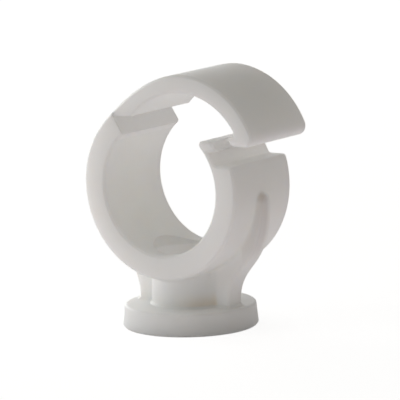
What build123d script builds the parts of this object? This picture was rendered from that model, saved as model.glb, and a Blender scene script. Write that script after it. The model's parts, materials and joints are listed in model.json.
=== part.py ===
from build123d import *
from math import asin, cos, degrees, hypot, radians, sin, sqrt, tan
import os

# A hinged pipe clip, moulded in one piece. The origin is at the middle of the foot's flat
# underside, the pipe runs along Y, and the catch is on the +X side. The strap stands a little
# open, as it leaves the mould. Lengths are in millimetres, and angles are in degrees, counted
# round the pipe's axis from +X towards +Z.

# Ring
bore_d = 15.0
ring_wall = 2.75
ring_width = 10.8
axis_height = 16.08
edge_chamfer = 0.24

# Foot
foot_d = 15.2
foot_rim_d = 14.7
foot_height = 2.53
foot_rim_round = 0.3
foot_edge_chamfer = 0.2

# Neck: a round screw boss with a rib on each side
boss_d = 8.5
neck_inset = 1.2
neck_straight = 0.4
rib_foot_thickness = 2.7
rib_top_thickness = 2.0
rib_top_drop = 0.5
rib_proud = 0.4
rib_edge_chamfer = 0.24
shoulder_angle = -43.0
shoulder_rise = 1.65
boss_rib_round = 0.8
foot_neck_chamfer = 0.28

# Screw hole, countersunk into the floor of the bore
screw_hole_d = 4.5
screw_head_d = 7.8
screw_head_sink = 0.2
countersink_angle = 90.0

# Hinge: a thin web at the outer skin, with an open notch inside it
hinge_angle = 127.8
notch_angle = 129.6
web_thickness = 0.5
web_relief = 15.0
root_spread = 15.4
root_thickness = 1.66
root_round = 0.8
skin_lean = 6.0

# Catch: a tongue with a barb, which stands on a ledge at the ring's open end
ledge_angle = 17.9
tongue_thickness = 0.7
tongue_angle = 50.2
barb_angle = 33.8
barb_reach = 1.22
barb_undercut = 0.2
barb_lead = 0.95
ledge_corner_round = 0.45
tongue_corner_round = 0.45
barb_corner_round = 0.25

# Strap: an arc from the hinge to a hook that snaps under the barb
strap_thickness = 2.05
strap_slack = 0.8
strap_crown_angle = 82.0
strap_lift = 2.27
catch_gap = 1.23
hook_reach = 0.77
hook_height = 1.2
hook_tip_height = 0.9
hook_lead = 0.62
hook_shank = 0.45
hook_corner_round = 0.25
strap_end_round = 1.1
strap_corner_round = 0.6

# Tolerance for finding edges, and the share of a wall that an edge's rounding or chamfer may take
near = 0.001
wall_share = 0.9

bore_r = bore_d / 2
ring_r = bore_r + ring_wall
half_width = ring_width / 2
foot_r = foot_d / 2
foot_rim_r = foot_rim_d / 2
boss_r = boss_d / 2
neck_x = foot_rim_r - neck_inset
tongue_r = bore_r + tongue_thickness
neck_sunk = foot_height / 2
ring_middle_r = bore_r + ring_wall / 2


def held(size: float, wall: float) -> float:
    """Size of an edge's rounding or chamfer, limited by the wall that carries it."""
    return min(size, wall_share * wall)


def turned(angle: float) -> Vector:
    """Unit vector of the side view at an angle."""
    return Vector(cos(radians(angle)), sin(radians(angle)))


def at(x: float, z: float) -> Vector:
    """Point of the side view, measured from the pipe's axis."""
    return Vector(x, axis_height + z)


def polar(radius: float, angle: float) -> Vector:
    """Point of the side view at a radius and angle round the pipe's axis."""
    return at(0, 0) + turned(angle) * radius


def rise(radius: float, angle: float) -> float:
    """Height above the pipe's axis of a point at a radius and angle."""
    return radius * sin(radians(angle))


def out(radius: float, height: float) -> float:
    """Distance to the right of the pipe's axis of a circle's point at a height."""
    return sqrt(radius**2 - height**2)


def corner(sketch: Sketch, point: Vector) -> Vertex:
    """Corner of a flat outline that lies nearest to a point."""
    return sketch.vertices().sort_by_distance((point.X, point.Y, 0))[0]


def soften(sketch: Sketch, point: Vector, radius: float) -> Sketch:
    """Rounds the corner of a flat outline that lies nearest to a point."""
    return fillet(corner(sketch, point), radius)


def across(sketch: Sketch) -> Part:
    """Carries an outline of the side view across the ring's whole width."""
    return extrude(Plane.XZ * sketch, amount=half_width, both=True)


def rim_edges(part: Part, skip: list) -> list:
    """Edges round the two flat sides, without the straight ones whose middles are skipped."""
    def kept(edge: Edge) -> bool:
        middle = edge.center()
        flat = abs(abs(middle.Y) - half_width) < near
        return flat and all(hypot(middle.X - p.X, middle.Z - p.Y) > near for p in skip)
    return [edge for edge in part.edges() if kept(edge)]


# Chamfer of the long edges, which the thin tongue and the hinge web have to carry
rim_chamfer = held(edge_chamfer, min(tongue_thickness / 2, web_thickness))

# Points of the side view that the ring, the hinge, the catch and the strap share
hinge = polar(ring_r, hinge_angle)
notch = polar(bore_r, notch_angle)
notch_slope = degrees(asin((notch - hinge).Y / (notch - hinge).length))
web_end = hinge + turned(notch_slope + web_relief) * web_thickness
root = polar(ring_r - root_thickness, hinge_angle - root_spread)
ledge_z = rise(ring_r, ledge_angle)
barb_root_z = rise(tongue_r, barb_angle)
tongue_z = rise(bore_r, tongue_angle)
barb_tip = at(out(tongue_r, barb_root_z) + barb_reach, barb_root_z + barb_undercut)
end_z = ledge_z + strap_lift


def ring_outline() -> Sketch:
    """Side view of the ring from the hinge round to the catch, with its tongue and barb."""
    ledge_out = at(out(ring_r, ledge_z), ledge_z)
    ledge_in = at(out(tongue_r, ledge_z), ledge_z)
    barb_root = at(out(tongue_r, barb_root_z), barb_root_z)
    barb_top = at(barb_tip.X - barb_lead, tongue_z)
    tongue_top = polar(bore_r, tongue_angle)
    outside = CenterArc(at(0, 0), ring_r, hinge_angle, 360 + ledge_angle - hinge_angle)
    ledge = Line(ledge_out, ledge_in)
    neck = ThreePointArc(ledge_in, polar(tongue_r, (ledge_angle + barb_angle) / 2), barb_root)
    barb = Polyline(barb_root, barb_tip, barb_top, tongue_top)
    inside = CenterArc(at(0, 0), bore_r, tongue_angle, notch_angle - tongue_angle - 360)
    end = Line(notch, hinge)
    outline = make_face(outside + ledge + neck + barb + inside + end)
    outline = soften(outline, ledge_out, ledge_corner_round)
    outline = soften(outline, ledge_in, ledge_corner_round)
    outline = soften(outline, tongue_top, tongue_corner_round)
    outline = soften(outline, barb_top, barb_corner_round)
    return soften(outline, barb_tip, barb_corner_round)


def make_ring() -> Part:
    """Ring with its catch, its long edges chamfered."""
    ring = across(ring_outline())
    return chamfer(rim_edges(ring, [(hinge + notch) / 2]), rim_chamfer)


def make_ribs() -> Part:
    """Tapering rib on each side of the boss, which flares out to the ring and ends in a round top."""
    face_x = ring_r + rib_proud
    top_z = axis_height - rib_top_drop
    top_half = rib_top_thickness / 2
    foot_half = rib_foot_thickness / 2
    flare_top = (face_x, top_z - top_half)
    flare_foot = (neck_x, foot_height + neck_straight)
    flare = Spline(
        flare_top,
        polar(ring_r + shoulder_rise, shoulder_angle),
        flare_foot,
        tangents=((0, -1), (0, -1)),
    )
    rest = Polyline(
        flare_foot,
        (neck_x, neck_sunk),
        (0, neck_sunk),
        (0, axis_height),
        (face_x, axis_height),
        flare_top,
    )
    half = make_face(flare + rest)
    side_view = half + mirror(half, Plane.YZ)
    thickness = Polyline(
        (-top_half, top_z - top_half),
        (-foot_half, neck_sunk),
        (foot_half, neck_sunk),
        (top_half, top_z - top_half),
    )
    round_top = ThreePointArc(thickness @ 1, (0, top_z), thickness @ 0)
    plate = extrude(Plane.YZ * make_face(thickness + round_top), amount=face_x, both=True)
    ribs = across(side_view) & plate
    return chamfer([e for e in ribs.edges() if on_rib_face(e)], held(rib_edge_chamfer, top_half))


def on_rib_face(edge: Edge) -> bool:
    """Whether an edge runs down one side of a rib's outer face or round its top."""
    middle = edge.center()
    upright = abs((edge % 0.5).Y) < 0.5
    return upright and abs(middle.X) > boss_r and abs(middle.Y) > near


def on_boss(edge: Edge) -> bool:
    """Whether an edge runs up the boss's round side, beside a rib."""
    spots = [edge @ t for t in (0, 0.5, 1)]
    upright = abs((edge % 0.5).Z) > 0.9
    round_on = all(abs(hypot(s.X, s.Y) - boss_r) < near for s in spots)
    return upright and round_on and abs(edge.center().Y) > rib_top_thickness / 4


def make_neck() -> Part:
    """Screw boss with its two ribs, blended into each other, from inside the foot to inside the ring."""
    boss_height = axis_height - bore_r - neck_sunk
    boss = Pos(0, 0, neck_sunk) * extrude(Circle(boss_r), boss_height)
    neck = boss + make_ribs()
    neck = fillet([e for e in neck.edges() if on_boss(e)], boss_rib_round)
    return neck - across(Pos(0, axis_height) * Circle(ring_middle_r))


def make_foot() -> Part:
    """Round foot with a flared side and a soft rim, which sits flat on the wall."""
    half = Polyline((0, 0), (foot_r, 0), (foot_rim_r, foot_height), (0, foot_height), close=True)
    section = soften(make_face(half), Vector(foot_rim_r, foot_height), foot_rim_round)
    section = chamfer(corner(section, Vector(foot_r, 0)), foot_edge_chamfer)
    return revolve(Plane.XZ * section, Axis.Z)


def screw_way() -> Part:
    """Space of the countersunk screw, from the middle of the bore down through the foot."""
    head_r = screw_head_d / 2
    hole_r = screw_hole_d / 2
    head_z = axis_height - bore_r - screw_head_sink
    cone_z = head_z - (head_r - hole_r) / tan(radians(countersink_angle / 2))
    half = Polyline(
        (0, -foot_height),
        (hole_r, -foot_height),
        (hole_r, cone_z),
        (head_r, head_z),
        (head_r, axis_height),
        (0, axis_height),
        close=True,
    )
    return revolve(Plane.XZ * make_face(half), Axis.Z)


def under_ring(edge: Edge) -> bool:
    """Whether an edge lies on the ring's outer round, where the neck runs into it."""
    spots = [edge @ t for t in (0, 0.25, 0.5, 0.75, 1)]
    round_on = all(abs(hypot(s.X, s.Z - axis_height) - ring_r) < near for s in spots)
    return round_on and max(abs(s.Y) for s in spots) < half_width - rim_chamfer - near


def on_foot(edge: Edge) -> bool:
    """Whether an edge lies on the foot's top, where the neck stands on it."""
    spots = [edge @ t for t in (0, 0.5, 1)]
    flat = all(abs(s.Z - foot_height) < near for s in spots)
    return flat and max(hypot(s.X, s.Y) for s in spots) < foot_rim_r - foot_rim_round


def make_body() -> Part:
    """Foot, neck, ring and catch in one solid, with the screw hole."""
    body = make_ring() + make_neck() + make_foot()
    body = fillet([e for e in body.edges() if under_ring(e)], rib_proud)
    seam_chamfer = held(foot_neck_chamfer, neck_inset - foot_rim_round)
    body = chamfer([e for e in body.edges() if on_foot(e)], seam_chamfer)
    return body - screw_way()


def strap_outline() -> Sketch:
    """Side view of the strap from its hinge web to its hook, with a sharp root."""
    tip_x = barb_tip.X + catch_gap
    face_x = tip_x + hook_reach
    hook_top = at(face_x, end_z + hook_height)
    hook_tip = at(tip_x, end_z + hook_tip_height)
    lead_end = at(tip_x + hook_lead, end_z)
    inner = RadiusArc(root, hook_top + Vector(0, hook_shank), bore_r + strap_slack)
    centre = inner.arc_center
    strap_r = bore_r + strap_slack + strap_thickness
    end_angle = degrees(asin((lead_end - centre).Y / strap_r))
    strap_end = centre + turned(end_angle) * strap_r
    crown = centre + turned(strap_crown_angle) * strap_r
    hook = Polyline(inner @ 1, hook_top, hook_tip, lead_end, strap_end)
    outer = CenterArc(centre, strap_r, end_angle, strap_crown_angle - end_angle)
    skin = Spline(
        crown,
        hinge,
        tangents=(turned(strap_crown_angle + 90), turned(hinge_angle + skin_lean + 90)),
        tangent_scalars=(1, 1),
    )
    web = Polyline(hinge, web_end, root)
    outline = make_face(inner + hook + outer + skin + web)
    outline = soften(outline, strap_end, strap_end_round)
    outline = soften(outline, hook_tip, hook_corner_round)
    return soften(outline, lead_end, hook_corner_round)


def end_corners() -> Part:
    """What is cut off the strap's end to round its two corners, as seen along X."""
    view = Pos(0, at(0, end_z).Y) * Rectangle(ring_width, ring_width, align=(Align.CENTER, Align.MIN))
    lowest = view.vertices().group_by(Axis.Y)[0]
    return extrude(Plane.YZ * (view - fillet(lowest, strap_corner_round)), amount=2 * ring_r)


def make_strap() -> Part:
    """Strap with its hook and its hinge web, its long edges chamfered, its root and end rounded."""
    outline = strap_outline()
    sharp = [(hinge + web_end) / 2, (web_end + root) / 2]
    strap = across(outline)
    strap = chamfer(rim_edges(strap, sharp), rim_chamfer)
    return strap - across(outline - soften(outline, root, root_round)) - end_corners()


os.makedirs("parts", exist_ok=True)
export_step(make_body(), "parts/clip_body.step")
export_step(make_strap(), "parts/strap.step")
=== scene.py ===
"""Looks of a white hinged pipe clip: its finishes, its hinge web, the studio and the camera.

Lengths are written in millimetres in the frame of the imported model, where the pipe runs along Y,
and MM turns them into metres. Angles are in degrees.
"""

import json
import logging
import math
from dataclasses import dataclass, field
from enum import Enum

import bmesh
import bpy
import numpy as np
from mathutils import Matrix, Vector


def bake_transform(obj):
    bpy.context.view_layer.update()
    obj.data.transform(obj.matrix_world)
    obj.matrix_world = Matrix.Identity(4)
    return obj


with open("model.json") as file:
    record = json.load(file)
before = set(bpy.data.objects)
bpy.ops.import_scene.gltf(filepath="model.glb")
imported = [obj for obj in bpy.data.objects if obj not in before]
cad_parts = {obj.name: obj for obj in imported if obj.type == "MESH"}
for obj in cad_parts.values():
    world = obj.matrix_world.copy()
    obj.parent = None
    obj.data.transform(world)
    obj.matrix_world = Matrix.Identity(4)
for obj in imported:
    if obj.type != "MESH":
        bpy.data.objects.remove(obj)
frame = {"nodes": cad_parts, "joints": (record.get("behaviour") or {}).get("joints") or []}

# A millimetre, in the frame's metres
MM = 0.001
# Side of the photograph's square frame, in pixels
IMAGE_SIDE = 400
# Turn between two faces from which the edge of a new piece stays sharp, in degrees
SHARP_ANGLE = 35.0
# Distances under which two points are one and an edge is none, in metres
MERGE_DISTANCE = 1e-8
SLIVER_LENGTH = 1e-9
QUARTER_TURN = 90.0
# Types of the sockets of node groups
FLOAT = "NodeSocketFloat"
COLOUR = "NodeSocketColor"
log = logging.getLogger("pipe_clip")

Colour = tuple[float, float, float]
Point = tuple[float, float, float]


class Body(Enum):
    """Bodies of the frame that the living hinge joins."""

    CLIP = "clip"
    STRAP = "hinged_strap"


class Slot(Enum):
    """Material slots of the record."""

    WHITE_PLASTIC = "white_plastic"


class MixSocket(Enum):
    """Places of the colour sockets on a Mix node."""

    FIRST = 6
    SECOND = 7
    RESULT = 2


def rgba(colour: Colour) -> tuple[float, float, float, float]:
    """Gives a colour its full opacity."""
    return (*colour, 1.0)


def metres(point: Point) -> Vector:
    """Turns a point in millimetres into metres."""
    return Vector(point) * MM


def hinge_line() -> Vector:
    """Returns the middle of the hinge line, from the strap's joint, in millimetres."""
    return Vector(frame["joints"][0]["pos_m"]) / MM


def unit(azimuth: float, elevation: float) -> Vector:
    """Works out the direction of a place around the clip.

    Args:
        azimuth: Turn about Z in degrees, where 0 is the -Y side and 90 is the +X side.
        elevation: Height over the horizon in degrees.

    Returns:
        The unit vector that points there from the clip.
    """
    a = math.radians(azimuth)
    e = math.radians(elevation)
    return Vector((math.sin(a) * math.cos(e), -math.cos(a) * math.cos(e), math.sin(e)))


class Graph:
    """A node tree, with short calls that add and join its nodes."""

    def __init__(self, tree: bpy.types.NodeTree) -> None:
        """Starts from an empty tree."""
        self.tree = tree
        self.tree.nodes.clear()

    def add(self, kind: str, inputs: dict | None = None, **settings: object) -> bpy.types.Node:
        """Adds a node.

        Args:
            kind: The node's type name.
            inputs: Values, or sockets to link from, by the input's name or place.
            settings: Properties of the node.

        Returns:
            The new node.
        """
        node = self.tree.nodes.new(kind)
        for name, value in settings.items():
            setattr(node, name, value)
        for key, value in (inputs or {}).items():
            if isinstance(value, bpy.types.NodeSocket):
                self.tree.links.new(value, node.inputs[key])
            else:
                node.inputs[key].default_value = value
        return node

    def math(self, operation: str, *values: object) -> bpy.types.NodeSocket:
        """Adds a Math node on values or sockets and returns its result."""
        return self.add("ShaderNodeMath", dict(enumerate(values)), operation=operation).outputs[0]

    def ramp(self, value: bpy.types.NodeSocket, start: float, end: float) -> bpy.types.NodeSocket:
        """Maps a value to a smooth step.

        Args:
            value: The socket to map.
            start: Value at which the step is 0.
            end: Value at which the step is 1.

        Returns:
            The step's socket.
        """
        inputs = {"Value": value, "From Min": start, "From Max": end}
        node = self.add("ShaderNodeMapRange", inputs, interpolation_type="SMOOTHSTEP")
        return node.outputs[0]

    def mix(self, share: object, first: object, second: object) -> bpy.types.NodeSocket:
        """Mixes two colours.

        Args:
            share: How much of the second colour there is, as a number or a socket.
            first: First colour or socket.
            second: Second colour or socket.

        Returns:
            The mixed colour's socket.
        """
        inputs = {0: share, MixSocket.FIRST.value: first, MixSocket.SECOND.value: second}
        node = self.add("ShaderNodeMix", inputs, data_type="RGBA")
        return node.outputs[MixSocket.RESULT.value]

    def stretch(
        self, value: bpy.types.NodeSocket, low: float, high: float, rise: float, fall: float
    ) -> bpy.types.NodeSocket:
        """Maps a place to a mask that fades in above one height and out under another.

        Args:
            value: The place's socket.
            low: Where the mask starts, in millimetres.
            high: Where the mask ends, in millimetres.
            rise: Length over which it fades in, in millimetres.
            fall: Length over which it fades out, in millimetres.

        Returns:
            The mask's socket.
        """
        starts = self.ramp(value, low * MM, (low + rise) * MM)
        stops = self.ramp(value, high * MM, (high - fall) * MM)
        return self.math("MULTIPLY", starts, stops)

    def where(self) -> bpy.types.NodeSocket:
        """Returns the place on the object, in metres."""
        return self.add("ShaderNodeTexCoord").outputs["Object"]

    def place(self) -> bpy.types.bpy_prop_collection:
        """Returns the X, Y and Z of the place on the object, in metres."""
        return self.add("ShaderNodeSeparateXYZ", {0: self.where()}).outputs

    def point(self, **parts: bpy.types.NodeSocket) -> bpy.types.NodeSocket:
        """Joins some of X, Y and Z to a place, whose other parts are 0, and returns it."""
        return self.add("ShaderNodeCombineXYZ", parts).outputs[0]

    def distance(self, where: bpy.types.NodeSocket, middle: Point) -> bpy.types.NodeSocket:
        """Returns the distance of a place from a middle, which is given in millimetres."""
        points = {0: where, 1: metres(middle)}
        return self.add("ShaderNodeVectorMath", points, operation="DISTANCE").outputs["Value"]

    def radius(
        self, first: bpy.types.NodeSocket, second: bpy.types.NodeSocket
    ) -> bpy.types.NodeSocket:
        """Returns the root of the sum of two squares."""
        squares = self.math("MULTIPLY", first, first)
        return self.math("SQRT", self.math("MULTIPLY_ADD", second, second, squares))

    def noise(self, where: object, size: float, detail: float) -> bpy.types.NodeSocket:
        """Adds a noise whose blots have a size in millimetres, and returns its value."""
        inputs = {"Vector": where, "Scale": 1 / (size * MM), "Detail": detail}
        return self.add("ShaderNodeTexNoise", inputs).outputs[0]


def new_group(name: str, inputs: dict, outputs: dict) -> tuple[Graph, dict, bpy.types.Node]:
    """Starts a shader node group.

    Args:
        name: Name of the group.
        inputs: Socket types by the names of the inputs.
        outputs: Socket types by the names of the outputs.

    Returns:
        The group's graph, the sockets of its inputs by name, and its output node.
    """
    tree = bpy.data.node_groups.new(name, "ShaderNodeTree")
    for label, kind in inputs.items():
        tree.interface.new_socket(name=label, in_out="INPUT", socket_type=kind)
    for label, kind in outputs.items():
        tree.interface.new_socket(name=label, in_out="OUTPUT", socket_type=kind)
    graph = Graph(tree)
    entry = graph.add("NodeGroupInput")
    return graph, {label: entry.outputs[label] for label in inputs}, graph.add("NodeGroupOutput")


@dataclass
class MouldedSkin:
    """Shared effect: the skin that a mould gives to plastic.

    The colour is clouded in broad soft patches, as flowing plastic sets, and takes on a painted
    warm shade in deep corners.
    A fine grain from the mould's spark-eroded steel goes into the height, and the roughness drifts
    a little over the surface.

    Attributes:
        cloud_size: Size of the patches.
        cloud_detail: How much finer detail the patches have.
        cloud_edges: Values of the noise at which a patch starts and is full.
        grain_size: Size of the grain.
        drift_size: Size of the places whose roughness differs.
        fine_detail: How much finer detail the grain and the roughness have.
        mean_noise: Mean of the noise, about which the roughness drifts.
        corner_reach: How far a corner looks for its other walls.
        corner_edges: Shares of open sky at which the painted corner shade starts and is full.
        corner_rays: How many looks a corner takes.
    """

    cloud_size: float = 3.5
    cloud_detail: float = 3.0
    cloud_edges: tuple[float, float] = (0.35, 0.65)
    grain_size: float = 0.16
    drift_size: float = 1.6
    fine_detail: float = 2.0
    mean_noise: float = 0.5
    corner_reach: float = 0.9
    corner_edges: tuple[float, float] = (0.75, 0.2)
    corner_rays: int = 8
    group: bpy.types.NodeTree = field(init=False)

    def __post_init__(self) -> None:
        """Builds the group once."""
        inputs = {"Colour": COLOUR, "Cloud": COLOUR, "Corner": COLOUR, "Clouding": FLOAT}
        inputs |= {"Corner Depth": FLOAT, "Roughness": FLOAT, "Drift": FLOAT}
        outputs = {"Colour": COLOUR, "Roughness": FLOAT, "Grain": FLOAT}
        graph, given, result = new_group("moulded_skin", inputs, outputs)
        where = graph.where()
        clouds = graph.noise(where, self.cloud_size, self.cloud_detail)
        patches = graph.ramp(clouds, *self.cloud_edges)
        clouding = graph.math("MULTIPLY", patches, given["Clouding"])
        clouded = graph.mix(clouding, given["Colour"], given["Cloud"])
        # Painted shade: deep corners, which little open sky reaches, turn darker and warmer.
        reach = {"Distance": self.corner_reach * MM}
        looks = {"samples": self.corner_rays, "only_local": True}
        open_sky = graph.add("ShaderNodeAmbientOcclusion", reach, **looks)
        depth = graph.ramp(open_sky.outputs["AO"], *self.corner_edges)
        corner = graph.math("MULTIPLY", depth, given["Corner Depth"])
        strays = graph.noise(where, self.drift_size, self.fine_detail)
        drift = graph.math("SUBTRACT", strays, self.mean_noise)
        drifted = graph.math("MULTIPLY_ADD", drift, given["Drift"], given["Roughness"])
        ends = {
            "Colour": graph.mix(corner, clouded, given["Corner"]),
            "Roughness": drifted,
            "Grain": graph.noise(where, self.grain_size, self.fine_detail),
        }
        for label, socket in ends.items():
            graph.tree.links.new(socket, result.inputs[label])
        self.group = graph.tree


@dataclass
class PartingLine:
    """Shared effect: the faint ridge that the two halves of the mould leave.

    The ridge lies on the mid-plane y = 0, outside a cylinder round the pipe's axis, and fades
    out above and below a stretch of heights.

    Attributes:
        axis_height: Height of the pipe's axis.
        outside: Radius of the cylinder.
        half_width: Half of the ridge's width.
        low: Where the ridge starts.
        high: Where the ridge ends.
        fade: Length over which its ends fade.
    """

    axis_height: float = 16.08
    outside: float = 10.0
    half_width: float = 0.09
    low: float = 15.2
    high: float = 18.6
    fade: float = 0.8
    group: bpy.types.NodeTree = field(init=False)

    def __post_init__(self) -> None:
        """Builds the group once."""
        graph, _, result = new_group("parting_line", {}, {"Ridge": FLOAT})
        place = graph.place()
        near = graph.ramp(graph.math("ABSOLUTE", place["Y"]), self.half_width * MM, 0.0)
        rise = graph.math("SUBTRACT", place["Z"], self.axis_height * MM)
        radius = graph.radius(place["X"], rise)
        outer = graph.math("GREATER_THAN", radius, self.outside * MM)
        stretch = graph.stretch(place["Z"], self.low, self.high, self.fade, self.fade)
        ridge = graph.math("MULTIPLY", graph.math("MULTIPLY", near, outer), stretch)
        graph.tree.links.new(ridge, result.inputs["Ridge"])
        self.group = graph.tree


@dataclass
class RibShade:
    """Shared effect: painted shade, a darker streak down each rib's face with a dark round spot at
    its top.

    The streak covers a band of places along Y, outside the boss, between two heights. The spot is
    round about a point at the rib's top. Both ribs have them.

    Attributes:
        band: Middle of the streak, along Y.
        half_width: Half of the streak's width.
        soft: Half of the width over which its sides fade, and the length over which its top does.
        outside: Distance from the mid-plane x = 0 past which the streak lies.
        low: Where the streak starts.
        fade: Length over which its start fades.
        high: Where the streak ends.
        spot: Middle of the spot on the right rib.
        spot_radius: Radius of the spot.
    """

    band: float = -0.45
    half_width: float = 0.75
    soft: float = 0.4
    outside: float = 8.0
    low: float = 7.0
    fade: float = 3.0
    high: float = 15.4
    spot: Point = (10.45, -0.5, 15.25)
    spot_radius: float = 0.95
    group: bpy.types.NodeTree = field(init=False)

    def __post_init__(self) -> None:
        """Builds the group once."""
        graph, _, result = new_group("painted_rib_shade", {}, {"Shade Streak": FLOAT, "Shade Spot": FLOAT})
        place = graph.place()
        aside = graph.math("ABSOLUTE", place["X"])
        offset = graph.math("ABSOLUTE", graph.math("SUBTRACT", place["Y"], self.band * MM))
        edge = (self.half_width + self.soft) * MM
        near = graph.ramp(offset, edge, (self.half_width - self.soft) * MM)
        outer = graph.math("GREATER_THAN", aside, self.outside * MM)
        stretch = graph.stretch(place["Z"], self.low, self.high, self.fade, self.soft)
        streak = graph.math("MULTIPLY", graph.math("MULTIPLY", near, outer), stretch)
        folded = graph.point(X=aside, Y=place["Y"], Z=place["Z"])
        spot = graph.ramp(graph.distance(folded, self.spot), self.spot_radius * MM, 0.0)
        graph.tree.links.new(streak, result.inputs["Shade Streak"])
        graph.tree.links.new(spot, result.inputs["Shade Spot"])
        self.group = graph.tree


@dataclass
class FootShade:
    """Shared effect: a painted warm shade low on the boss, over its corner with the foot.

    It lies on the boss's round wall. It is strongest just above the foot's top, fades upwards, and
    sets in towards the right.

    Attributes:
        wall_radius: Radius of the boss's wall.
        near: Distance from the wall up to which the tinge is full.
        far: Distance from the wall at which it ends.
        foot_top: Height at which it starts.
        soft: Length over which its start fades.
        height: How far up it reaches.
        left: Where it sets in, along X.
        right: Where it is full, along X.
    """

    wall_radius: float = 4.3
    near: float = 0.2
    far: float = 0.6
    foot_top: float = 2.65
    soft: float = 0.25
    height: float = 2.0
    left: float = 0.3
    right: float = 3.7
    group: bpy.types.NodeTree = field(init=False)

    def __post_init__(self) -> None:
        """Builds the group once."""
        graph, _, result = new_group("painted_foot_shade", {}, {"Foot Shade": FLOAT})
        place = graph.place()
        radius = graph.radius(place["X"], place["Y"])
        aside = graph.math("ABSOLUTE", graph.math("SUBTRACT", radius, self.wall_radius * MM))
        on_wall = graph.ramp(aside, self.far * MM, self.near * MM)
        top = self.foot_top + self.height
        low = graph.stretch(place["Z"], self.foot_top, top, self.soft, self.height)
        turned = graph.ramp(place["X"], self.left * MM, self.right * MM)
        foot_shade = graph.math("MULTIPLY", graph.math("MULTIPLY", on_wall, low), turned)
        graph.tree.links.new(foot_shade, result.inputs["Foot Shade"])
        self.group = graph.tree


@dataclass(frozen=True)
class Groove:
    """A hollow along Y: the middle of its round section and its radius."""

    x: float
    z: float
    radius: float


@dataclass
class LitHollows:
    """Shared effect: painted light that makes the plastic paler in the hollows, standing in for
    light that shines through the plastic into them.

    They are the screw head's recess, a round hollow about the upright axis, and two grooves along
    Y: the hinge's notch and the catch. Each fades out at its rim.

    Attributes:
        recess_radius: Radius of the recess.
        recess_low: Where the recess starts.
        recess_high: Where the recess ends.
        grooves: The two grooves.
        half_length: Half of the grooves' length.
        soft: Length over which the rims fade.
    """

    recess_radius: float = 3.95
    recess_low: float = 4.0
    recess_high: float = 10.2
    grooves: tuple[Groove, ...] = (Groove(-5.3, 22.9, 1.7), Groove(7.6, 20.8, 1.3))
    half_length: float = 5.1
    soft: float = 0.3
    group: bpy.types.NodeTree = field(init=False)

    def __post_init__(self) -> None:
        """Builds the group once."""
        graph, _, result = new_group("painted_hollow_light", {}, {"Hollow Light": FLOAT})
        place = graph.place()
        beside = graph.point(X=place["X"], Y=place["Y"])
        round_in = self.within(graph, beside, (0.0, 0.0, 0.0), self.recess_radius)
        over = graph.math("GREATER_THAN", place["Z"], self.recess_low * MM)
        under = graph.math("LESS_THAN", place["Z"], self.recess_high * MM)
        hollow = graph.math("MULTIPLY", round_in, graph.math("MULTIPLY", over, under))
        side_on = graph.point(X=place["X"], Z=place["Z"])
        along = graph.math("ABSOLUTE", place["Y"])
        inside = graph.ramp(along, (self.half_length + self.soft) * MM, self.half_length * MM)
        for groove in self.grooves:
            near = self.within(graph, side_on, (groove.x, 0.0, groove.z), groove.radius)
            hollow = graph.math("MAXIMUM", hollow, graph.math("MULTIPLY", near, inside))
        graph.tree.links.new(hollow, result.inputs["Hollow Light"])
        self.group = graph.tree

    def within(
        self, graph: Graph, where: bpy.types.NodeSocket, middle: Point, radius: float
    ) -> bpy.types.NodeSocket:
        """Returns how far a place is inside a radius about a middle, with a soft rim."""
        rim = self.soft / 2
        return graph.ramp(graph.distance(where, middle), (radius + rim) * MM, (radius - rim) * MM)


@dataclass
class HingeSkin:
    """Shared effect: painted light that pales the outer skin where it runs on over the hinge line,
    from one solid to the next, so the seam between the solids does not look dark.

    It is a round zone about the hinge line, along Y, that fades out at its rim.

    Attributes:
        reach: Radius up to which the zone is full.
        fade: Length over which its rim fades.
    """

    reach: float = 0.1
    fade: float = 0.5
    group: bpy.types.NodeTree = field(init=False)

    def __post_init__(self) -> None:
        """Builds the group once."""
        graph, _, result = new_group("hinge_skin", {}, {"Skin": FLOAT})
        place = graph.place()
        away = graph.distance(graph.point(X=place["X"], Z=place["Z"]), tuple(hinge_line()))
        skin = graph.ramp(away, (self.reach + self.fade) * MM, self.reach * MM)
        graph.tree.links.new(skin, result.inputs["Skin"])
        self.group = graph.tree


@dataclass
class Effects:
    """The shared effects, built once and given to every finish."""

    skin: MouldedSkin = field(default_factory=MouldedSkin)
    line: PartingLine = field(default_factory=PartingLine)
    mark: RibShade = field(default_factory=RibShade)
    foot_shade: FootShade = field(default_factory=FootShade)
    hollows: LitHollows = field(default_factory=LitHollows)
    hinge: HingeSkin = field(default_factory=HingeSkin)


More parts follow.
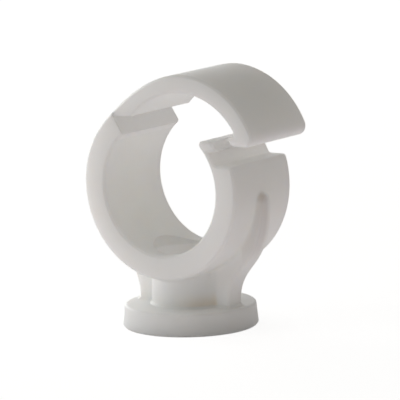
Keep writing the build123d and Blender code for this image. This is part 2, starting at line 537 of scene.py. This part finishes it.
@dataclass(frozen=True)
class WhitePlastic:
    """Finish: semi-matte white polypropylene, which lets a little light in.

    Attributes:
        colour: Colour of the plastic.
        cloud: Colour of the clouded patches.
        corner: Colour that deep corners take on.
        clouding: Strength of the patches.
        corner_shade_depth: Strength of the corners' tint.
        roughness: Mean roughness.
        drift: How far the roughness strays.
        grain_height: Height of the mould's grain in millimetres.
        ridge_height: Height of the parting line in millimetres, where the finish has one.
        edge_round: Radius in millimetres by which light sees the edges rounded.
        edge_rays: How many looks an edge takes for its rounding.
        glow: Share of the light that enters the plastic.
        glow_depth: How deep that light goes, in millimetres.
        glow_tint: How deep red, green and blue light go, as shares of that depth.
        refraction: Index of refraction.
        specular: Strength of the surface's own gloss, where 0.5 is plain.
        ridge_and_painted_light: Whether it has the parting line, and the painted shade on the ribs
            and the boss and the painted light in the hollows.
        streak: Colour of the ribs' streaks.
        spot: Colour of the spots at the ribs' tops.
        foot_shade: Colour of the painted warm shade low on the boss.
        hollow: Colour of the painted light in the hollows and over the hinge line.
    """

    colour: Colour = (0.911, 0.919, 0.90)
    cloud: Colour = (0.897, 0.904, 0.883)
    # corner: Colour of the painted shade in deep corners.
    corner: Colour = (0.80, 0.74, 0.66)
    clouding: float = 0.5
    # corner_shade_depth: Strength of the painted shade in deep corners.
    corner_shade_depth: float = 0.15
    roughness: float = 0.5
    drift: float = 0.16
    grain_height: float = 0.0035
    ridge_height: float = 0.02
    edge_round: float = 0.2
    edge_rays: int = 6
    glow: float = 0.75
    glow_depth: float = 4.0
    glow_tint: Colour = (1.0, 0.92, 0.84)
    refraction: float = 1.49
    specular: float = 0.38
    ridge_and_painted_light: bool = False
    # streak: Colour of the painted shade down the ribs' faces.
    streak: Colour = (0.79, 0.78, 0.765)
    # spot: Colour of the painted shade spots at the ribs' tops.
    spot: Colour = (0.70, 0.665, 0.635)
    foot_shade: Colour = (0.905, 0.84, 0.757)
    hollow: Colour = (0.975, 0.975, 0.96)

    def material(self, name: str, effects: Effects) -> bpy.types.Material:
        """Builds the material.

        Args:
            name: Name of the material.
            effects: The shared effects.

        Returns:
            The new material.
        """
        material = bpy.data.materials.new(name)
        material.use_nodes = True
        graph = Graph(material.node_tree)
        skinned = graph.add("ShaderNodeGroup", node_tree=effects.skin.group)
        values = {
            "Colour": rgba(self.colour),
            "Cloud": rgba(self.cloud),
            "Corner": rgba(self.corner),
            "Clouding": self.clouding,
            "Corner Depth": self.corner_shade_depth,
            "Roughness": self.roughness,
            "Drift": self.drift,
        }
        for label, value in values.items():
            skinned.inputs[label].default_value = value
        colour = skinned.outputs["Colour"]
        height = skinned.outputs["Grain"]
        # The parting line is a real ridge; the rest under this flag is painted light and shade.
        if self.ridge_and_painted_light:
            ridge = graph.add("ShaderNodeGroup", node_tree=effects.line.group).outputs["Ridge"]
            raised = graph.math("MULTIPLY", ridge, self.ridge_height / self.grain_height)
            height = graph.math("ADD", height, raised)
            # Painted light: the hollows are paled, as light shining through the plastic would
            # brighten them.
            hollow_light = graph.add("ShaderNodeGroup", node_tree=effects.hollows.group).outputs[0]
            colour = graph.mix(hollow_light, colour, rgba(self.hollow))
            # Painted shade: a darker streak down each rib's face and a dark spot at its top.
            rib_shades = graph.add("ShaderNodeGroup", node_tree=effects.mark.group).outputs
            colour = graph.mix(rib_shades["Shade Streak"], colour, rgba(self.streak))
            colour = graph.mix(rib_shades["Shade Spot"], colour, rgba(self.spot))
            # Painted shade: a warm darker tinge low on the boss, by its corner with the foot,
            # strongest on the right.
            foot_shade = graph.add("ShaderNodeGroup", node_tree=effects.foot_shade.group).outputs["Foot Shade"]
            colour = graph.mix(foot_shade, colour, rgba(self.foot_shade))
        # Painted light: a paler colour over the hinge line, where the edges are also not rounded.
        hinge = graph.add("ShaderNodeGroup", node_tree=effects.hinge.group).outputs["Skin"]
        colour = graph.mix(hinge, colour, rgba(self.hollow))
        edge = graph.math("MULTIPLY", graph.math("SUBTRACT", 1.0, hinge), self.edge_round * MM)
        rounded = graph.add("ShaderNodeBevel", {"Radius": edge}, samples=self.edge_rays).outputs[0]
        relief = {"Height": height, "Distance": self.grain_height * MM, "Normal": rounded}
        bumped = graph.add("ShaderNodeBump", relief)
        shader = graph.add(
            "ShaderNodeBsdfPrincipled",
            {
                "Base Color": colour,
                "Roughness": skinned.outputs["Roughness"],
                "Normal": bumped.outputs[0],
                "IOR": self.refraction,
                "Specular IOR Level": self.specular,
                "Subsurface Weight": self.glow,
                "Subsurface Radius": self.glow_tint,
                "Subsurface Scale": self.glow_depth * MM,
            },
        )
        graph.add("ShaderNodeOutputMaterial", {"Surface": shader.outputs[0]})
        return material


def surface(name: str, points: np.ndarray, closed: bool) -> bpy.types.Object:
    """Turns a grid of points into a smooth mesh object that sits at the origin.

    Args:
        name: Name of the object and its mesh.
        points: Array of rows by columns by 3, in metres.
        closed: Whether the last column joins the first.

    Returns:
        The new object, with doubled points merged, faces pointing outwards and sharp edges kept.
    """
    rows, columns = points.shape[:2]
    index = np.arange(rows * columns).reshape(rows, columns)
    ahead = np.roll(index, -1, axis=1)
    last = columns if closed else columns - 1
    corners = [index[:-1, :last], ahead[:-1, :last], ahead[1:, :last], index[1:, :last]]
    faces = np.stack(corners, axis=-1).reshape(-1, 4)
    mesh = bpy.data.meshes.new(name)
    mesh.from_pydata(points.reshape(-1, 3).tolist(), [], faces.tolist())
    shape = bmesh.new()
    shape.from_mesh(mesh)
    bmesh.ops.remove_doubles(shape, verts=shape.verts, dist=MERGE_DISTANCE)
    bmesh.ops.dissolve_degenerate(shape, edges=shape.edges, dist=SLIVER_LENGTH)
    bmesh.ops.recalc_face_normals(shape, faces=shape.faces)
    shape.to_mesh(mesh)
    shape.free()
    mesh.shade_smooth()
    mesh.set_sharp_from_angle(angle=math.radians(SHARP_ANGLE))
    piece = bpy.data.objects.new(name, mesh)
    bpy.context.scene.collection.objects.link(piece)
    return piece


@dataclass
class MouldedNode:
    """A solid of the frame, which is dressed and otherwise left as it is.

    Attributes:
        node: Name of the node.
        coat: Name of its material.
        finish: Finish of the plastic.
    """

    node: str
    coat: str
    finish: WhitePlastic

    def dress(self, effects: Effects) -> bpy.types.Material:
        """Puts the finish into the node's slots.

        Args:
            effects: The shared effects.

        Returns:
            The finish's material.
        """
        material = self.finish.material(self.coat, effects)
        for place in frame["nodes"][self.node].material_slots:
            place.material = material
        return material


@dataclass
class ClipBody(MouldedNode):
    """The foot, neck, ring and catch, as the frame gives them."""

    node: str = "clip_body"
    coat: str = "white_plastic_body"
    finish: WhitePlastic = WhitePlastic(ridge_and_painted_light=True)


@dataclass
class HingedStrap(MouldedNode):
    """The strap with its hook, as the frame gives it."""

    node: str = "strap"
    coat: str = "white_plastic_strap"
    finish: WhitePlastic = WhitePlastic()


@dataclass
class HingeWeb:
    """The thin web of the living hinge, between the ring's end and the strap.

    Angles are turns about the hinge line, from +X towards +Z.

    Attributes:
        hinge_angle: Where the hinge line lies round the pipe's axis, from +X towards +Z.
        skin_lean: How far the strap's outer skin leans out from the ring's.
        ring_side: Angle of the ring's end face.
        relief: Angle between the ring's end face and the strap's thin end.
        depth: How far the web reaches in from the outer skin.
        tuck: Angle by which the web reaches into both neighbours.
        start: How far under the outer skin the web begins.
        half_width: Half of the clip's width.
        chamfer: Chamfer of the clip's outer edges, which the web keeps inside.
        hollow: How far the middle of the inner face is drawn in.
        hold: Depth at which the two sides would begin to follow their bodies fully; not used.
        skin_radius: Radius to which both outer skins curve.
        cover: How far the web's own outer skin reaches over each neighbour.
        cover_height: Thickness of that skin over its neighbours.
        cover_turn: How far its edges turn down into them, in thicknesses.
        finish: Finish of the plastic.
        steps_around: Points across the inner face.
        steps_deep: Points along each side.
        steps_wide: Sections along the hinge line.
        steps_over: Points over each neighbour.
    """

    hinge_angle: float = 127.8
    skin_lean: float = 6.0
    ring_side: float = -57.09
    relief: float = 15.0
    depth: float = 0.34
    tuck: float = 1.5
    start: float = 0.02
    half_width: float = 5.4
    chamfer: float = 0.24
    hollow: float = 0.03
    hold: float = 0.22
    skin_radius: float = 10.25
    cover: float = 0.15
    cover_height: float = 0.01
    cover_turn: float = 3.0
    # The web's colour for the painted light over the hinge line is close to its plain colour.
    finish: WhitePlastic = WhitePlastic(glow=0.0, hollow=(0.92, 0.925, 0.908))
    steps_around: int = 17
    steps_deep: int = 7
    steps_wide: int = 25
    steps_over: int = 7

    @property
    def strap_side(self) -> float:
        """Angle of the strap's thin end."""
        return self.ring_side + self.relief

    @property
    def ring_skin(self) -> float:
        """Angle of the ring's outer skin."""
        return self.hinge_angle + QUARTER_TURN

    @property
    def strap_skin(self) -> float:
        """Angle of the strap's outer skin."""
        return self.hinge_angle + self.skin_lean - QUARTER_TURN

    def profile(self) -> tuple[np.ndarray, np.ndarray, np.ndarray]:
        """Works out the closed section as radius and angle about the hinge line.

        The section runs in along the ring's end face, across the inner face, whose radius dips as
        a sine between the two sides, and out along the strap's end. It comes back over the hinge
        line as a thin skin, which follows the curve of the strap's and the ring's outer skins: at
        a distance s, a skin of radius R has fallen by the angle s / 2R.

        Returns:
            The radii in millimetres, the angles in radians, and half the width at each point.
        """
        low = math.radians(self.ring_side - self.tuck)
        high = math.radians(self.strap_side + self.tuck)
        inward = np.linspace(self.start, self.depth, self.steps_deep)
        across = np.linspace(0.0, 1.0, self.steps_around)[1:-1]
        inner = self.depth - self.hollow * np.sin(np.pi * across)
        out = np.linspace(0.0, self.cover, self.steps_over)[1:]
        fall = out / (2 * self.skin_radius)
        lift = self.cover_height / out
        strap_over = math.radians(self.strap_skin) - fall + lift
        ring_over = math.radians(self.ring_skin) + fall - lift
        sunk = self.cover_turn * lift[-1:]
        top = math.radians((self.strap_skin + self.ring_skin) / 2)
        radius = np.concatenate(
            [inward, inner, inward[::-1], out[-1:], out[::-1], [self.cover_height], out, out[-1:]]
        )
        angle = np.concatenate(
            [
                np.full(self.steps_deep, low),
                low + (high - low) * across,
                np.full(self.steps_deep, high),
                strap_over[-1:] - sunk,
                strap_over[::-1],
                [top],
                ring_over,
                ring_over[-1:] + sunk,
            ]
        )
        # The chamfer narrows the web where it lies near the outer skin, and the cover all over
        deep = np.where(angle < high + math.radians(self.tuck), radius, 0.0)
        reach = self.half_width - np.clip(self.chamfer - deep, 0.0, None)
        return radius, angle, reach

    def build(self, effects: Effects) -> bpy.types.Object:
        """Carries the section along the hinge line, between the two bodies.

        Each row of the grid is the section at one place along Y. The first and last rows shrink to
        the hinge line and close the ends. A point's reach along Y follows the chamfer.

        Args:
            effects: The shared effects.

        Returns:
            The web's object.
        """
        radius, angle, reach = self.profile()
        flat = np.stack([radius * np.cos(angle), radius * np.sin(angle)], axis=-1)
        share = np.concatenate([[-1.0], np.linspace(-1.0, 1.0, self.steps_wide), [1.0]])
        grown = np.concatenate([[0.0], np.ones(self.steps_wide), [0.0]])
        section = grown[:, None, None] * flat
        along = share[:, None] * np.where(grown[:, None] > 0, reach, reach.min())
        points = np.stack([section[..., 0], along, section[..., 1]], axis=-1)
        points += np.array(hinge_line())
        web = surface("hinge_web", points * MM, closed=True)
        web.data.materials.append(self.finish.material("white_plastic_web", effects))
        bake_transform(web)
        return web


@dataclass
class Softbox:
    """A soft lamp that looks at the clip.

    Attributes:
        name: Name of the lamp.
        azimuth: Where it stands round the clip, in degrees.
        elevation: How high it stands, in degrees.
        level: Brightness that it alone gives to a white face turned to it.
        width: Length of its level sides.
        height: Length of its upright sides.
        distance: Distance from the clip.
    """

    name: str
    azimuth: float
    elevation: float
    level: float
    width: float = 420.0
    height: float = 420.0
    distance: float = 600.0

    def place(self, target: Vector) -> bpy.types.Object:
        """Makes the lamp, aimed at a point, with the power that its level needs there.

        That power is the level times the square of pi times the distance.

        Args:
            target: The point, in metres.

        Returns:
            The lamp's object.
        """
        lamp = bpy.data.lights.new(self.name, "AREA")
        lamp.shape = "RECTANGLE"
        lamp.size = self.width * MM
        lamp.size_y = self.height * MM
        lamp.energy = self.level * (math.pi * self.distance * MM) ** 2
        back = unit(self.azimuth, self.elevation)
        light = bpy.data.objects.new(self.name, lamp)
        light.location = target + back * self.distance * MM
        light.rotation_euler = back.to_track_quat("Z", "Y").to_euler()
        bpy.context.scene.collection.objects.link(light)
        return light


@dataclass
class Studio:
    """The pale floor, the white surroundings and the soft lamps.

    Attributes:
        floor_side: Length of the floor's sides.
        floor_steps: Points along each of those sides.
        floor_drop: How far the floor lies under the foot.
        floor_colour: Colour of the floor as it lights the clip.
        floor_white: White that the camera sees on the floor beside its lit colour.
        floor_shown: Share of the floor's lit colour that the camera sees, which keeps the shadow.
        floor_glow: Painted light that the glowing table gives to the clip from below, where it is
            brightest.
        glow_near: Distances from the middle between which that light sets in; its dimmer middle is
            a painted shadow of the clip.
        glow_far: Distances from the middle between which that light dies away.
        surround: Brightness of the surroundings as they light the clip.
        surround_white: White that the camera sees in the surroundings.
        target: Point at which the lamps aim.
        lamps: The soft lamps.
    """

    floor_side: float = 4000.0
    floor_steps: int = 3
    floor_drop: float = 0.02
    floor_colour: Colour = (0.88, 0.875, 0.865)
    floor_white: float = 0.88
    floor_shown: float = 0.35
    floor_glow: Colour = (0.39, 0.35, 0.375)
    glow_near: tuple[float, float] = (5.0, 17.0)
    glow_far: tuple[float, float] = (90.0, 110.0)
    surround: Colour = (0.185, 0.176, 0.157)
    surround_white: Colour = (1.0, 1.0, 1.0)
    target: Point = (0.0, 0.0, 14.0)
    lamps: tuple[Softbox, ...] = (
        Softbox("left_softbox", -108.0, 13.0, level=0.49, width=640.0, height=270.0),
        Softbox("front_softbox", -45.0, 16.0, level=0.215, width=320.0, height=320.0),
        Softbox("top_softbox", 0.0, 80.0, level=0.08),
    )

    def seen(self, graph: Graph) -> bpy.types.NodeSocket:
        """Tells whether a ray shows the background: to the camera, in gloss or through glass.

        Args:
            graph: The graph that asks.

        Returns:
            The socket, which is 1 for such a ray and 0 for others.
        """
        path = graph.add("ShaderNodeLightPath").outputs
        gloss = graph.math("ADD", path["Is Glossy Ray"], path["Is Transmission Ray"])
        total = graph.math("ADD", path["Is Camera Ray"], gloss)
        return graph.math("MINIMUM", total, 1.0)

    def floor_material(self) -> bpy.types.Material:
        """Builds the floor's finish.

        To the clip it is a table that glows with painted light, dimmer near the foot as a painted
        shadow, and to the eye it is white with a faint shadow.

        Returns:
            The new material.
        """
        material = bpy.data.materials.new("pale_floor")
        material.use_nodes = True
        graph = Graph(material.node_tree)
        seen = self.seen(graph)
        # Painted light: the floor glows to the clip in a wide ring, dimmer near the foot as a
        # painted shadow.
        away = graph.distance(graph.where(), (0.0, 0.0, 0.0))
        sets_in = graph.ramp(away, *(edge * MM for edge in self.glow_near))
        lasts = graph.ramp(away, *(edge * MM for edge in reversed(self.glow_far)))
        strength = graph.math("MULTIPLY", sets_in, lasts)
        glow = {"Color": rgba(self.floor_glow), "Strength": strength}
        lit = graph.add("ShaderNodeEmission", glow)
        matt = graph.add("ShaderNodeBsdfDiffuse", {"Color": rgba(self.floor_colour)})
        pale = graph.add("ShaderNodeAddShader", {0: matt.outputs[0], 1: lit.outputs[0]})
        white = graph.add("ShaderNodeEmission", {"Strength": self.floor_white})
        dim = tuple(self.floor_shown * c for c in self.floor_colour)
        shadow = graph.add("ShaderNodeBsdfDiffuse", {"Color": rgba(dim)})
        shown = graph.add("ShaderNodeAddShader", {0: white.outputs[0], 1: shadow.outputs[0]})
        both = {0: seen, 1: pale.outputs[0], 2: shown.outputs[0]}
        mixed = graph.add("ShaderNodeMixShader", both)
        graph.add("ShaderNodeOutputMaterial", {"Surface": mixed.outputs[0]})
        return material

    def lay_floor(self) -> bpy.types.Object:
        """Lays the floor as a flat square grid under the foot.

        Returns:
            The floor's object.
        """
        half = self.floor_side / 2 * MM
        line = np.linspace(-half, half, self.floor_steps)
        x, y = np.meshgrid(line, line, indexing="ij")
        points = np.stack([x, y, np.full_like(x, -self.floor_drop * MM)], axis=-1)
        floor = surface("floor", points, closed=False)
        floor.data.materials.append(self.floor_material())
        return floor

    def surround_clip(self) -> bpy.types.World:
        """Makes the surroundings, white to the eye and dimmer as light.

        Returns:
            The new world.
        """
        world = bpy.data.worlds.new("white_surround")
        world.use_nodes = True
        graph = Graph(world.node_tree)
        seen = self.seen(graph)
        colour = graph.mix(seen, rgba(self.surround), rgba(self.surround_white))
        shine = graph.add("ShaderNodeBackground", {"Color": colour})
        graph.add("ShaderNodeOutputWorld", {"Surface": shine.outputs[0]})
        bpy.context.scene.world = world
        return world

    def build(self) -> None:
        """Builds the floor, the surroundings and the lamps."""
        log.info("floor %s", self.lay_floor().name)
        log.info("surroundings %s", self.surround_clip().name)
        for lamp in self.lamps:
            lamp.place(metres(self.target))
            log.info("lamp %s", lamp.name)


@dataclass
class PhotoCamera:
    """The camera, which stands to the right of the clip's front and looks slightly down.

    Attributes:
        azimuth: Where it stands round the clip, in degrees.
        elevation: How high it stands, in degrees.
        roll: How far it leans, in degrees.
        distance: Distance from the middle of the clip.
        middle: Middle of the clip.
        aim_right: How far to the right of the middle it looks.
        aim_up: How far above the middle it looks.
        focal_pixels: Focal length in the photograph's pixels.
        sensor: Width of the sensor.
    """

    azimuth: float = 35.9677
    elevation: float = 9.8967
    roll: float = -1.5311
    distance: float = 418.3
    middle: Point = (0.0, 0.0, 14.0)
    aim_right: float = 1.3594
    aim_up: float = 0.0147
    focal_pixels: float = 3757.6
    sensor: float = 36.0

    def place(self) -> bpy.types.Object:
        """Makes the camera and gives it to the scene.

        Returns:
            The camera's object.
        """
        data = bpy.data.cameras.new("photo_camera")
        data.sensor_width = self.sensor
        data.lens = self.sensor * self.focal_pixels / IMAGE_SIDE
        back = unit(self.azimuth, self.elevation)
        right = unit(self.azimuth + QUARTER_TURN, 0.0)
        above = back.cross(right)
        eye = Vector(self.middle) + back * self.distance
        aim = Vector(self.middle) + right * self.aim_right + above * self.aim_up
        turn = (eye - aim).to_track_quat("Z", "Y").to_matrix().to_4x4()
        lean = Matrix.Rotation(math.radians(self.roll), 4, "Z")
        camera = bpy.data.objects.new("photo_camera", data)
        camera.matrix_world = Matrix.Translation(eye * MM) @ turn @ lean
        bpy.context.scene.collection.objects.link(camera)
        bpy.context.scene.camera = camera
        return camera


def main() -> None:
    """Dresses the clip, builds the hinge web, the studio and the camera."""
    logging.basicConfig(level=logging.INFO, format="%(name)s: %(message)s")
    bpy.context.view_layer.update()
    bpy.context.scene.view_settings.view_transform = "Standard"
    effects = Effects()
    body_material = ClipBody().dress(effects)
    log.info("clip body dressed with %s", body_material.name)
    strap_material = HingedStrap().dress(effects)
    log.info("strap dressed with %s", strap_material.name)
    web = HingeWeb().build(effects)
    log.info("hinge web %s with %d faces", web.name, len(web.data.polygons))
    Studio().build()
    log.info("camera %s", PhotoCamera().place().name)


if __name__ == "__main__":
    main()
